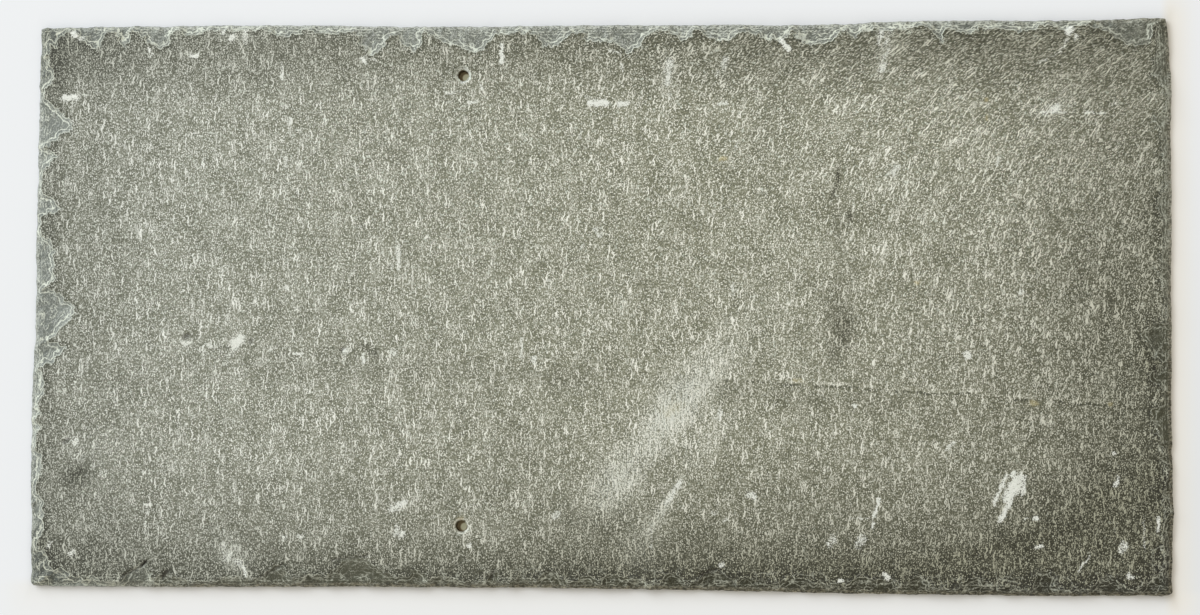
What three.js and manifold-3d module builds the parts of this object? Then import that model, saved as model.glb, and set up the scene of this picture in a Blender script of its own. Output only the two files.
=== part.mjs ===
// Slate roof tile: one riven slab of slate with four hand-dressed edges and two punched nail holes.
//
// Millimetres, +Z up. The slate lies on its back with its face up. The origin is the centre of the
// back; +X runs from the head to the tail, and +Y is the left hand of someone looking that way.
//
// A slate is trimmed to size with a blade that breaks it along the edge. The break leaves the back
// with a clean arris and takes shell-shaped flakes off the face, so every edge has a ragged bevel.
// The nail holes are punched from the back, and the punch breaks a small cone off the face.

import * as THREE from 'three';
import { ConvexGeometry } from 'three/addons/geometries/ConvexGeometry.js';
import { mergeVertices } from 'three/addons/utils/BufferGeometryUtils.js';
import Module from 'manifold-3d';

// ---- Driving dimensions -------------------------------------------------------------------------

const LENGTH = 500;                // head to tail
const WIDTH = 250;                 // left edge to right edge
const THICKNESS = 6;

const NAIL_HOLE_DIAMETER = 4.8;
const LEFT_NAIL_FROM_HEAD = 191.4;
const LEFT_NAIL_FROM_EDGE = 23.5;
const RIGHT_NAIL_FROM_HEAD = 192.6;
const RIGHT_NAIL_FROM_EDGE = 27.6;
const SPALL_DIAMETER = 7.6;        // the mouth of the cone that the punch breaks off the face
const SPALL_DEPTH = 1.7;
const SPALL_RAGGEDNESS = 0.5;      // how far the mouth strays from round, each way
const HOLE_SEGMENTS = 18;

const CORNER_CHIP = 1.5;           // leg of the small flat at each corner
const OUTLINE_STEP = 6;            // spacing of the points along an edge
const OUTLINE_RAGGEDNESS = 0.18;   // fine unevenness of the outline, each way

const TRIM_PITCH = 10;             // spacing of the small flakes that follow every edge
const TRIM_WIDTH = 15;
const TRIM_REACH = 3.8;            // how far in over the face the small flakes reach
const TRIM_DEPTH = 3.2;            // how deep they cut at the edge
const TRIM_VARIATION = 0.35;       // how much one small flake differs from the next
const FLAKE_DEPTH = 2.4;           // how deep the large flakes cut at the edge
const CUT_MARGIN = 2;              // how far a cutting solid stands out of the slate

const SLATE_COLOUR = 0x9c9e8f;

// ---- The four edges, clockwise from the head end of the left edge --------------------------------
// corner: where the edge starts, as signs of the half length and half width. along: its direction.
// stray: how far it strays outwards from the nominal rectangle, at equal steps along it.
// flakes: the large flakes, each [place along the edge from 0 to 1, width, reach, lean, roundness].
// Lean moves the flake's tip along the edge, from -1 to 1; roundness is 1 for a V and more for a U.

const EDGES = [
  {
    name: 'left',
    corner: [-1, 1],
    along: [1, 0],
    length: LENGTH,
    stray: [-0.8, -0.4, -0.2, -0.3, -1.1, -1.5, -1.2, -1.2, -1.4, -1.7, -0.3, -0.2, -0.3, 0.4],
    flakes: [
      [0.012, 12, 10.0, -0.1, 1.1], [0.044, 16, 9.7, 0.5, 2.5], [0.075, 12, 9.3, 0.2, 1.8],
      [0.107, 23, 10.3, -0.1, 1.4], [0.145, 20, 3.5, 0.1, 2.0], [0.187, 23, 3.2, 0.0, 2.0],
      [0.223, 14, 5.6, -0.1, 1.4], [0.259, 23, 4.6, 0.1, 2.0], [0.302, 19, 14.1, 0.0, 1.4],
      [0.333, 15, 13.2, 0.5, 1.2], [0.382, 33, 13.1, 0.3, 1.4], [0.427, 12, 4.0, 0.1, 2.0],
      [0.461, 23, 12.4, -0.1, 1.1], [0.501, 16, 8.1, -0.1, 3.0], [0.529, 26, 15.4, 0.0, 1.2],
      [0.572, 20, 8.0, 0.5, 1.0], [0.610, 26, 9.4, 0.1, 1.1], [0.657, 19, 7.8, -0.2, 3.0],
      [0.695, 25, 10.2, -0.1, 2.4], [0.732, 14, 6.1, -0.3, 1.4], [0.764, 21, 4.7, 0.0, 2.0],
      [0.798, 13, 11.2, 0.3, 1.0], [0.832, 23, 7.1, -0.4, 1.5], [0.874, 23, 5.7, -0.3, 1.8],
      [0.911, 22, 4.3, -0.1, 2.0], [0.959, 31, 12.5, 0.6, 1.5],
    ],
  },
  {
    name: 'tail',
    corner: [1, 1],
    along: [0, -1],
    length: WIDTH,
    stray: [-0.9, 0.8, 0.5, 0.6, 0.3, 0.2, 0.1, -0.1, 0.2, 0.1, -0.5],
    flakes: [
      [0.031, 13, 6.5, 0.3, 2.0], [0.087, 27, 8.2, 0.0, 2.0], [0.180, 12, 7.9, -0.1, 2.0],
      [0.247, 23, 4.2, -0.4, 2.0], [0.336, 25, 8.1, -0.2, 1.4], [0.407, 10, 3.5, 0.0, 2.0],
      [0.461, 16, 5.2, -0.1, 1.6], [0.509, 10, 3.4, 0.0, 2.0], [0.570, 25, 12.1, -0.4, 1.6],
      [0.627, 15, 9.7, -0.3, 2.0], [0.708, 26, 10.2, -0.4, 1.4], [0.770, 10, 7.3, -0.3, 1.5],
      [0.824, 17, 3.5, 0.0, 2.0], [0.886, 15, 5.7, 0.0, 1.8], [0.937, 11, 3.7, 0.0, 2.0],
    ],
  },
  {
    name: 'right',
    corner: [1, -1],
    along: [-1, 0],
    length: LENGTH,
    stray: [-0.4, 0.2, 0.1, 0.2, -0.1, -0.6, -0.8, -1.0, -0.8, -0.7, -0.3, 0.1, 0.4, 0.3],
    flakes: [
      [0.018, 17, 10.4, -0.4, 1.2], [0.056, 19, 7.6, 0.0, 2.0], [0.110, 14, 10.7, 0.0, 2.0],
      [0.167, 20, 7.5, 0.1, 2.0], [0.217, 17, 7.6, 0.2, 1.6], [0.259, 30, 7.4, 0.1, 2.0],
      [0.318, 27, 6.7, 0.0, 2.0], [0.392, 23, 9.8, -0.2, 1.3], [0.430, 15, 8.3, 0.2, 1.4],
      [0.477, 19, 6.8, 0.3, 2.0], [0.536, 18, 6.9, 0.0, 2.0], [0.586, 7, 8.2, -0.3, 1.1],
      [0.622, 15, 4.8, 0.0, 2.0], [0.659, 17, 9.0, -0.4, 1.3], [0.704, 35, 13.5, 0.2, 1.9],
      [0.778, 21, 9.7, -0.2, 1.3], [0.829, 18, 5.1, -0.2, 2.0], [0.880, 8, 7.2, -0.5, 1.2],
      [0.906, 20, 10.9, -0.6, 1.2], [0.940, 14, 4.9, 0.0, 2.0], [0.970, 17, 8.3, 0.0, 1.5],
    ],
  },
  {
    name: 'head',
    corner: [-1, -1],
    along: [0, 1],
    length: WIDTH,
    stray: [-0.5, -0.1, 0.5, 0.8, 0.4, 0.0, 0.4, 0.3, 0.3, 0.3, 0.0],
    flakes: [
      [0.041, 19, 11.3, -0.7, 1.6], [0.121, 25, 6.2, 0.1, 4.0], [0.205, 19, 5.7, 0.0, 3.0],
      [0.264, 12, 5.0, 0.0, 2.0], [0.306, 11, 3.8, 0.0, 2.0], [0.348, 21, 5.2, -0.1, 4.0],
      [0.407, 14, 15.0, 0.4, 1.5], [0.472, 31, 19.6, 0.3, 1.2], [0.571, 32, 9.2, 0.0, 3.0],
      [0.686, 16, 11.4, -0.8, 1.2], [0.755, 14, 9.7, 0.4, 1.2], [0.826, 25, 17.2, -0.2, 1.3],
      [0.910, 17, 6.0, -0.1, 2.5], [0.967, 14, 5.2, -0.1, 3.0],
    ],
  },
];

const FLAKE_STATIONS = 6;          // facets across a large flake
const TRIM_STATIONS = 4;           // facets across a small one

// ---- Helpers ------------------------------------------------------------------------------------

const wasm = await Module();
wasm.setup();

// A repeatable scatter between -1 and 1.
function makeScatter(seed) {
  let state = seed;
  return () => {
    state = (Math.imul(state, 1664525) + 1013904223) >>> 0;
    return state / 2147483648 - 1;
  };
}

function toSolid(geometry) {
  const bare = geometry.clone();
  bare.deleteAttribute('normal');
  bare.deleteAttribute('uv');
  const merged = mergeVertices(bare, 1e-5);
  return new wasm.Manifold(new wasm.Mesh({
    numProp: 3,
    vertProperties: new Float32Array(merged.attributes.position.array),
    triVerts: new Uint32Array(merged.index.array),
  }));
}

function toGeometry(solid) {
  const mesh = solid.getMesh();
  const geometry = new THREE.BufferGeometry();
  geometry.setAttribute('position', new THREE.BufferAttribute(new Float32Array(mesh.vertProperties), 3));
  geometry.setIndex(new THREE.BufferAttribute(new Uint32Array(mesh.triVerts), 1));
  return geometry;
}

// ---- Outline ------------------------------------------------------------------------------------

// Gives an edge its start, its direction, its inward normal and its smooth stray.
function layOut(edge) {
  const start = new THREE.Vector2(edge.corner[0] * LENGTH / 2, edge.corner[1] * WIDTH / 2);
  const along = new THREE.Vector2(...edge.along);
  const inward = new THREE.Vector2(along.y, -along.x);
  const knots = edge.stray.map((out, i) => new THREE.Vector2(i / (edge.stray.length - 1), out));
  const curve = new THREE.SplineCurve(knots);
  const stray = (place) => curve.getPoint(THREE.MathUtils.clamp(place, 0, 1)).y;
  return { ...edge, start, along, inward, stray };
}

// The point of an edge's own frame that lies s along the edge and n in from its smooth line.
function onEdge(edge, s, n) {
  const inwards = n - edge.stray(s / edge.length);
  return edge.start.clone().addScaledVector(edge.along, s).addScaledVector(edge.inward, inwards);
}

function outlinePoints(edges) {
  const scatter = makeScatter(7);
  return edges.flatMap((edge) => {
    const run = edge.length - 2 * CORNER_CHIP;
    const steps = Math.round(run / OUTLINE_STEP);
    return Array.from({ length: steps + 1 }, (_, i) => (
      onEdge(edge, CORNER_CHIP + run * i / steps, OUTLINE_RAGGEDNESS * scatter())
    ));
  });
}

function slab(edges) {
  const shape = new THREE.Shape(outlinePoints(edges));
  return toSolid(new THREE.ExtrudeGeometry(shape, { depth: THICKNESS, bevelEnabled: false }));
}

// ---- Flakes off the edges -----------------------------------------------------------------------

// The solid that a flake took away: its rim lies on the face and is deepest inland at the tip, and
// its floor drops steeply at the rim and then runs out nearly level to the edge.
function flake(edge, { place, width, reach, lean, roundness, depth, stations }) {
  const points = [];
  const centre = place * edge.length;
  const add = (s, n, z) => {
    const { x, y } = onEdge(edge, s, n);
    points.push(new THREE.Vector3(x, y, z));
  };
  for (let i = 0; i <= stations; i += 1) {
    const u = -1 + 2 * i / stations;
    const s = centre + u * width / 2;
    const fromTip = u < lean ? (lean - u) / (lean + 1) : (u - lean) / (1 - lean);
    const rim = reach * (1 - fromTip ** roundness);
    const floor = THICKNESS - depth * (1 - 0.6 * u * u);
    add(s, rim, THICKNESS);
    add(s, rim, THICKNESS + CUT_MARGIN);
    add(s, rim * 0.55, THICKNESS + (floor - THICKNESS) * 0.62);
    add(s, 0, floor);
    add(s, -CUT_MARGIN, floor);
    add(s, -CUT_MARGIN, THICKNESS + CUT_MARGIN);
  }
  return toSolid(new ConvexGeometry(points));
}

function largeFlakes(edge) {
  return edge.flakes.map(([place, width, reach, lean, roundness]) => flake(edge, {
    place, width, reach, lean, roundness, depth: FLAKE_DEPTH, stations: FLAKE_STATIONS,
  }));
}

function smallFlakes(edge, scatter) {
  const count = Math.round(edge.length / TRIM_PITCH);
  const vary = (size) => size * (1 + TRIM_VARIATION * scatter());
  return Array.from({ length: count + 1 }, (_, i) => flake(edge, {
    place: (i + 0.3 * scatter()) / count,
    width: vary(TRIM_WIDTH),
    reach: vary(TRIM_REACH),
    lean: 0.6 * scatter(),
    roundness: 2 + 0.6 * scatter(),
    depth: vary(TRIM_DEPTH),
    stations: TRIM_STATIONS,
  }));
}

// ---- Nail holes ---------------------------------------------------------------------------------

function nailHole(x, y, scatter) {
  const radius = NAIL_HOLE_DIAMETER / 2;
  const height = THICKNESS + 2 * CUT_MARGIN;
  const shank = new THREE.CylinderGeometry(radius, radius, height, HOLE_SEGMENTS);
  shank.rotateX(Math.PI / 2).translate(x, y, THICKNESS / 2);

  const points = [];
  for (let i = 0; i < HOLE_SEGMENTS; i += 1) {
    const angle = 2 * Math.PI * i / HOLE_SEGMENTS;
    const mouth = SPALL_DIAMETER / 2 + SPALL_RAGGEDNESS * scatter();
    const add = (r, z) => points.push(
      new THREE.Vector3(x + r * Math.cos(angle), y + r * Math.sin(angle), z),
    );
    add(radius, THICKNESS - SPALL_DEPTH);
    add(mouth, THICKNESS);
    add(mouth, THICKNESS + CUT_MARGIN);
  }
  return toSolid(shank).add(toSolid(new ConvexGeometry(points)));
}

function nailHoles() {
  const scatter = makeScatter(23);
  const fromHead = (distance) => distance - LENGTH / 2;
  return [
    nailHole(fromHead(LEFT_NAIL_FROM_HEAD), WIDTH / 2 - LEFT_NAIL_FROM_EDGE, scatter),
    nailHole(fromHead(RIGHT_NAIL_FROM_HEAD), RIGHT_NAIL_FROM_EDGE - WIDTH / 2, scatter),
  ];
}

// ---- The slate ----------------------------------------------------------------------------------

function slateTile() {
  const edges = EDGES.map(layOut);
  const scatter = makeScatter(11);
  const cuts = edges.flatMap((edge) => [...largeFlakes(edge), ...smallFlakes(edge, scatter)]);
  const solid = wasm.Manifold.difference([slab(edges), ...cuts, ...nailHoles()]);
  const geometry = toGeometry(solid);
  geometry.computeBoundingBox();
  const centre = geometry.boundingBox.getCenter(new THREE.Vector3());
  geometry.translate(-centre.x, -centre.y, 0);
  const faceted = geometry.toNonIndexed();
  faceted.computeVertexNormals();
  return faceted;
}

const slate = new THREE.MeshStandardMaterial({ color: SLATE_COLOUR, roughness: 0.75, metalness: 0 });
const tile = new THREE.Mesh(slateTile(), slate);
tile.name = 'slate_tile';

const object = new THREE.Group();
object.add(tile);

export default object;
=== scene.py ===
# Slate roof tile: the dressed model of one riven slate, lying face up on a pale floor.
#
# The CAD slate gives the outline, the nail holes and the flakes off the edges. This script builds a
# finer mesh over the same form, with ragged laminated flakes, a riven face and marks of wear, and
# paints it with one procedural slate material. Lengths are in millimetres until the mesh is made.
# The head is at -X, the tail at +X, the foot at -Y and the top at +Y.

import math
from functools import partialmethod

import bpy
import numpy as np
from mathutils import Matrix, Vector, kdtree
from mathutils.bvhtree import BVHTree
from mathutils.geometry import delaunay_2d_cdt


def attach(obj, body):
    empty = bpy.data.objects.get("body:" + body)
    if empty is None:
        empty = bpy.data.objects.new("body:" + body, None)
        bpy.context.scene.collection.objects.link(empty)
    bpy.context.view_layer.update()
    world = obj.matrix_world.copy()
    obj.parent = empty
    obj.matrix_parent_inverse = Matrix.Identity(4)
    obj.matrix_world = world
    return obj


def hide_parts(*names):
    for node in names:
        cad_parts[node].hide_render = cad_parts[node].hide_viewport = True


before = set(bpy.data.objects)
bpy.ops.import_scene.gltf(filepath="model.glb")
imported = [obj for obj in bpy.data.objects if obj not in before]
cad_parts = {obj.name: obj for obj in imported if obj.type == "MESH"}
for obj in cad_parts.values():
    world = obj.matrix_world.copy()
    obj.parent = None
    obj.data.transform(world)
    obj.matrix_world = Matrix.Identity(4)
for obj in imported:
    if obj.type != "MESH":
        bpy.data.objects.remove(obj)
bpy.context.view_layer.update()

MM = 0.001

# ---- Sizes ----

HALF_LENGTH = 250
HALF_WIDTH = 125
THICKNESS = 6.0
FINE_STEP = 0.66  # mesh spacing in the flakes and marks
FACE_LEVEL = 4  # the open face has points this many steps apart
MARGIN = 5  # the outline strays less than this from the straight sides
EDGE_BAND = 26.0  # no flake reaches further in than this
LAMINA = 0.42  # thickness of one layer that a flake breaks along
RIM_DROP = 0.22  # the first small cliff at the rim of a flake
CRUMB_DEPTH = 0.5  # how deep the crumbled trim along the outline is
WALL_ROWS = 6
INSET = 0.8  # the outline takes its depth from this far inside it
HOLE_RINGS = (0.35, 0.8, 1.35, 2.0, 2.7, 3.4)  # rings of points round a hole, out from its wall
BACK_STEP = 5.0
SHARP_TURN = 38  # degrees between two triangles, from which their edge looks sharp
GRAIN_HEIGHT = 0.16  # how far the pale flecks seem to stand out

# The cleavage line: a low step across the face, from the head to the tail.
RIDGE_PATH = ((-226, -16.5), (-150, -18.5), (-85, -20), (64, -33), (150, -38), (253, -45))
RIDGE_STEP = 0.14

WINDOW_SIDE = (-0.90, 0.44)  # the way to the window, seen from above

# ---- Marks of wear ----

# Each mark is drawn out along a line: the place of its middle, its length and width, how far it is
# turned from the length of the slate in degrees, and its strength in hundredths.

WHITE_SCUFF = (
    (176.5, -79.5, 15, 1.8, 67, 85), (181.5, -79.5, 12.5, 4.2, 66, 100), (184, -77.5, 10, 4.2, 68, 80),
    (178.5, -89, 11, 2.2, 62, 90), (186.5, -79, 8, 1.6, 80, 90), (182, -73, 4, 2, 60, 90),
    (187.5, -92, 2.4, 1.4, 0, 70), (191.5, -92, 3.2, 1.4, 0, 85),
)
CHALK_AT_HEAD = (
    (-236, 92.5, 7.5, 2.6, 6, 100), (-230.5, 93.5, 5, 0.9, 0, 50), (-234.5, 121, 3.5, 2.2, -10, 100),
    (-231.5, 119, 2.2, 1.8, 0, 70), (-200, 114, 3.2, 1.2, 90, 90), (-199, 111.5, 3.5, 1.3, 30, 60),
    (-179.5, 111, 5, 1.8, -3, 100), (-166.5, 121.5, 2.6, 1.8, 80, 80), (-162.5, 119, 3.6, 2.2, 60, 90),
    (-156.5, 119.5, 6, 2.2, 90, 55), (-140, 101.5, 3.6, 1.6, 85, 90), (-140, 105.5, 5, 0.9, 90, 50),
    (-137.5, 88, 3, 2.2, 0, 60), (-136, 81.5, 3.6, 1.5, 95, 80), (-132, 77.5, 3.5, 1.3, 5, 65),
    (-137.5, 63.5, 5.6, 1.8, 95, 70), (-136, 7, 1.8, 1.6, 0, 95), (-230.5, -35.5, 1.8, 1.4, 0, 80),
    (-180.5, -17.5, 5.2, 1.8, 10, 90), (-182.5, -14.5, 5.2, 0.9, 92, 50), (-158, -17, 7.8, 4, 50, 95),
    (-160.5, -21.5, 7, 2.2, 55, 50), (-163, -26.5, 3.5, 2.2, 45, 50), (-170, -18.5, 4, 1.3, -20, 85),
    (-173, -23, 4.8, 1.1, 92, 65), (-143, -20.5, 1.8, 1.4, 0, 80), (-131, -22, 5.2, 1.3, 0, 100),
    (-230, -61.5, 3.5, 2.2, 30, 75), (-234.5, -59.5, 2.6, 1.8, 0, 60), (-180, -53.5, 1.8, 1.5, 0, 95),
    (-217.5, -76, 5.2, 3, 40, 45), (-197, -89, 4, 1.3, 0, 85), (-196.5, -92, 3, 1.8, 30, 70),
    (-198, -97.5, 6.6, 1.3, 88, 60), (-162.5, -100, 4, 1.1, 95, 40), (-231, -110.5, 3, 3, 40, 70),
    (-162.5, -108, 4.4, 1.8, 80, 35), (-160.5, -111.5, 5.2, 3.5, 60, 40), (-156, -114, 4.4, 3, -30, 45),
    (-153, -118, 5.2, 1.3, -70, 80), (-135.5, -103, 2.6, 1.8, 60, 60), (-128.5, -102.5, 2.6, 2.2, 0, 65),
    (-189.5, -74.5, 12.5, 0.9, -75, 45), (-241, -107, 4.4, 1.8, 60, 50),
)
CHALK_IN_MIDDLE = (
    (-41.5, 111, 9.6, 1.8, 90, 95), (-103, 108.5, 3.6, 2.2, -60, 85), (-100.5, 109.5, 7, 1.1, -25, 50),
    (-64.5, 93.5, 4, 1.3, -5, 80), (-50.5, 96, 3.2, 1.1, 100, 90), (-54.5, 89.5, 5.6, 1.3, 2, 85),
    (-64.5, 89.5, 1.8, 1.3, 0, 70), (1.5, 89, 9.6, 2.6, 0, 100), (-67, 97, 6.5, 0.8, 88, 45),
    (-62.5, 94.2, 8.5, 0.8, 3, 55), (12.5, 88.5, 5.6, 2.2, 0, 95), (-1.5, 90.5, 6.2, 2.2, -20, 40),
    (-6, 75.5, 5.6, 1.3, 75, 50), (8.5, 111.5, 7, 1.3, -20, 60), (12, 104.5, 4.4, 1.3, 90, 50),
    (32.5, 105, 7.8, 3, 80, 55), (32, 99, 6.2, 2.2, 80, 65), (33.5, 92, 3.5, 1.8, 80, 50),
    (57, 106.5, 6.2, 2.6, 75, 55), (54, 101.5, 3.5, 1.3, 60, 40), (56.5, 88.5, 4.4, 1.3, 0, 80),
    (62.5, 70, 5.2, 0.9, 70, 50), (-86.5, 20.5, 11.5, 1.8, 90, 80), (-89.5, 16.5, 3.5, 1.3, 90, 55),
    (-87.5, 30, 17.5, 0.9, 88, 35), (0.5, 33, 3.5, 1.3, -25, 80), (2.5, 30.5, 2.6, 1.8, -20, 60),
    (-5, 25.5, 2.6, 1.3, 60, 60), (-20, 8, 8, 1.1, 80, 40), (61, 7, 6.6, 1.1, 88, 60),
    (-109.5, -20.5, 3.5, 3, 50, 90), (-101.5, -24, 5.2, 1.5, 92, 100), (-88, -21.5, 4.4, 3, 60, 60),
    (-31.5, -19, 8.8, 0.9, 88, 80), (-26, -24.5, 3.5, 1.8, 80, 85), (90, -33, 3, 1.3, 5, 50),
    (55.5, -48, 6.2, 1.8, 85, 55), (35.5, -82, 13, 2, 56, 65), (26, -101.5, 11.5, 0.9, 92, 45),
    (69.5, -83, 4, 3, -45, 80), (53, -91, 3, 1.8, 0, 65), (58, -94, 3.5, 1.3, 40, 50),
    (-54, -105.5, 2.6, 1.8, 0, 85), (-86, -89, 8, 3, 30, 75), (-82.5, -87.5, 4, 1.8, 40, 70),
    (-86, -99.5, 6.2, 2.2, 80, 60), (-83.5, -101, 4, 2.6, 30, 75), (-15.5, -92, 4.4, 2.6, 40, 60),
)
CHALK_AT_TAIL = (
    (82.5, 115.5, 4, 1.8, -50, 90), (84.5, 113, 3.5, 2.2, -40, 100), (125, 117.5, 7, 2.2, 75, 60),
    (128.5, 117, 7.8, 1.8, 70, 40), (126, 104, 5.2, 2.6, 65, 70), (127.5, 109.5, 7.8, 1.3, 65, 45),
    (131, 58.5, 7.5, 2.2, 45, 60), (200.5, 85.5, 5.2, 3, 30, 90), (200, 84, 11.5, 0.9, 0, 85),
    (215.5, 84, 4.4, 1.3, 0, 70), (221, 83.5, 4.4, 0.9, 0, 70), (226, 87.5, 3.5, 1.3, 10, 65),
    (207, 120, 4.4, 2.6, 60, 100), (210, 117, 2.6, 1.8, 60, 70), (204.5, 113, 8, 1.1, 60, 60),
    (197.5, 107.5, 10.5, 0.8, 28, 50), (176, 62.5, 4.8, 1.8, 75, 60), (162.5, -21.5, 4, 3, -50, 90),
    (185.5, 5.5, 3, 2.2, 20, 75), (114, -44, 2.2, 2, 0, 100), (123.5, -88, 8.8, 1.5, 75, 90),
    (122, -95.5, 3.5, 1.3, 70, 70), (117, -92.5, 11.5, 0.7, 0, 40), (104, -102.5, 6.2, 3.5, 60, 45),
    (116.5, -102.5, 7, 4, 60, 50), (108, -119.5, 2.6, 1.5, 0, 100), (127.5, -117.5, 4, 2.6, -40, 85),
    (56.5, -113, 1.8, 2.2, 0, 70), (155, -61, 5.6, 1.3, 42, 70), (226.5, -75, 4.4, 1.1, 80, 80),
    (225.5, -77, 2.2, 1.8, 0, 90), (228.5, -104, 5.6, 3, 60, 55), (231.5, -116.5, 3, 2.2, -30, 75),
    (212, -111, 9.6, 0.8, 52, 60), (237.5, -98.5, 13, 0.7, 90, 45), (243.5, -94, 6.2, 1.1, 85, 80),
    (193, -104, 4, 1.3, 20, 70), (225, -63.5, 2.6, 1.8, 0, 60),
)
CHALK = WHITE_SCUFF + CHALK_AT_HEAD + CHALK_IN_MIDDLE + CHALK_AT_TAIL

# Broad rubbed places, where the grain shows through a pale haze. The first seven are one long smudge.
RUBBED = (
    (31, -52, 84, 18, 52, 58), (35, -46, 30, 15, 56, 85), (10, -78, 26, 16, 50, 60),
    (51, -29, 30, 15, 70, 38), (31, -89, 26, 4, 59, 90), (49, -60, 34, 13, 54, 28),
    (73, -7, 48, 26, 70, 8), (32, 102.5, 17.5, 7, 80, 35), (57, 103, 11.5, 5.2, 75, 25),
    (-159, 119.5, 19.5, 5.2, 0, 35), (127.5, 114, 19.5, 8, 70, 35), (200.5, 86, 17.5, 9.6, 20, 30),
    (-158.5, -111.5, 21, 12, -50, 50), (-223, -65, 26, 17.5, 30, 15), (21, -105, 26, 17.5, 80, 20),
    (129.5, 54.5, 17.5, 7, 50, 25), (-98, 97.5, 22, 6.2, -35, 20), (-172.5, -18.5, 53, 6.2, 0, 12),
)

# Darker places, where damp or a thumb has stained the ground.
STAINED = (
    (107, -8, 32, 12.5, 88, 50), (110, -11, 17, 5.2, 92, 45), (106.5, 55.5, 10, 2.2, 87, 110),
    (104.5, 48.5, 6.5, 2.2, 80, 90), (107, 34, 42, 6.2, 90, 22), (112, 38.5, 7, 2.6, 85, 80),
    (-229.5, -76.5, 13, 12, 0, 65), (-227, -74, 7, 3.5, 60, 50), (-172, 25, 15, 11.5, -70, 25),
    (-57.5, -48, 8, 5.2, 0, 25), (-11.5, -34, 17.5, 10.5, 10, 25), (195, -117, 5.6, 4.4, 0, 60),
    (-98.5, -21, 5.2, 3, 0, 40), (58, -7.5, 3, 2.2, 60, 50), (75, 74.5, 26, 13, 60, 15),
    (-32, -31, 70, 8.8, -3, 12), (90.5, -40.5, 122, 9.6, -6, 20), (242, -23.5, 31, 13, 90, 30),
    (222, 8, 66, 52, 90, 18), (242, 38, 44, 13, 90, 22), (0, -95, 34, 16, 0, 22),
    (-26, -62, 36, 26, 0, 10), (-110, -28, 120, 14, -2, 13), (-101, -18.5, 5.5, 1.8, 5, 70),
    (-96, -22, 5.5, 2.2, 95, 60),
)

# The ground darkens towards the borders: partly painted shade, standing in for the window's sheen
# and its falloff over the face, and partly the slate's own tone. Each row has a strength, and how it
# comes in along x and then along y: not at all before the first number, and in full from the second.
WHOLE = (-999, -998)
AT_TAIL = (130, 250)
AT_FOOT = (-50, -125)
BELOW_MIDDLE = (50, -90)
TOP_BORDER = (82, 110)
FOOT_BORDER = (-92, -116)
DARKENED = (
    (0.4, WHOLE, AT_FOOT), (0.2, (-100, 60), AT_FOOT), (0.12, (190, 250), AT_FOOT),
    (-0.12, (-150, -240), AT_FOOT), (0.4, AT_TAIL, WHOLE), (0.28, AT_TAIL, BELOW_MIDDLE),
    (0.1, (-20, 120), BELOW_MIDDLE), (0.1, (170, 250), WHOLE), (0.3, (-170, -245), WHOLE),
    (0.26, (-234, -246), WHOLE), (0.38, WHOLE, TOP_BORDER), (0.06, (-60, 40), TOP_BORDER),
    (-0.28, (150, 240), TOP_BORDER), (0.18, WHOLE, (104, 120)), (0.06, (60, 120), (70, 20)),
    (-0.06, (160, 210), (70, 20)), (0.06, (45, 75), (100, 112)), (-0.06, (190, 235), (100, 112)),
    (0.24, WHOLE, FOOT_BORDER), (0.3, AT_TAIL, FOOT_BORDER), (0.1, (-300, -60), (-108, -121)),
    (0.24, (145, 195), (-104, -115)), (0.03, WHOLE, (-106, -118)),
)

# Spots of yellow ochre.
OCHRE = (
    (56.5, 64, 4.4, 1.8, 10, 70), (141, 9.5, 2.6, 1.3, 0, 60), (171, 89.5, 2.2, 1.3, 90, 60),
    (171, 81.5, 2.6, 1.3, 90, 50), (34.5, -46.5, 8.8, 3, 40, 20), (89.5, -33, 4.4, 1.8, 0, 40),
    (191, -42.5, 4.4, 1.8, 0, 50), (223.5, -42.5, 2.6, 1.3, 0, 40), (-57.5, -94, 3, 2.2, 0, 40),
)

# Nicks in the face: they are hollows too, as many hundredths of a millimetre deep as they are strong,
# and painted dark brown as the shade in them.
NICKS = (
    (-181, -14.5, 3.6, 2.4, 30, 50), (-152, -16.5, 2.6, 1.8, 60, 40), (-111, -20, 2.8, 1.5, 40, 40),
    (-234.5, -61, 4, 1.8, 38, 50), (-198.3, -115, 3.8, 1.1, 47, 90), (-204.5, -118.8, 8, 0.9, 26, 60),
    (-188.8, -119.4, 5, 1.5, 47, 70), (-141, -117.5, 12, 0.9, 30, 40), (-106.5, -111.5, 17, 0.8, 7, 40),
    (50.5, -116.5, 9, 1.1, 20, 60), (59.5, -119, 11.5, 1, -40, 40), (-43.5, -118, 4.4, 1.8, 62, 50),
)

# ---- Noise ----


def noise(x, y, seed):
    """Gradient noise with cells of size 1 and values from about -1 to 1, the same each run."""
    cell_x, cell_y = np.floor(x), np.floor(y)
    fx, fy = x - cell_x, y - cell_y
    fade_x, fade_y = (f * f * f * (f * (f * 6 - 15) + 10) for f in (fx, fy))

    def corner(dx, dy):
        h = (cell_x + dx).astype(np.int64) * 73856093 ^ (cell_y + dy).astype(np.int64) * 19349663
        h = (h ^ seed * 83492791) & 0xFFFFFFFF
        h = (h ^ h >> 15) * 0x2C1B3C6D & 0xFFFFFFFF
        h = (h ^ h >> 12) * 0x297A2D39 & 0xFFFFFFFF
        angle = (h ^ h >> 15) * (2 * np.pi / 0xFFFFFFFF)
        return np.cos(angle) * (fx - dx) + np.sin(angle) * (fy - dy)

    low = corner(0, 0) * (1 - fade_x) + corner(1, 0) * fade_x
    high = corner(0, 1) * (1 - fade_x) + corner(1, 1) * fade_x
    return 1.5 * (low * (1 - fade_y) + high * fade_y)


def layered_noise(x, y, seed):
    """Three layers of noise, each half the size and half the height of the last."""
    return sum(noise(x * 2 ** k, y * 2 ** k, seed + 17 * k) * 0.5 ** k for k in range(3)) / 1.5


def smooth(low, high, value):
    """Goes smoothly from 0 at low to 1 at high."""
    t = np.clip((value - low) / (high - low), 0, 1)
    return t * t * (3 - 2 * t)


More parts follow.
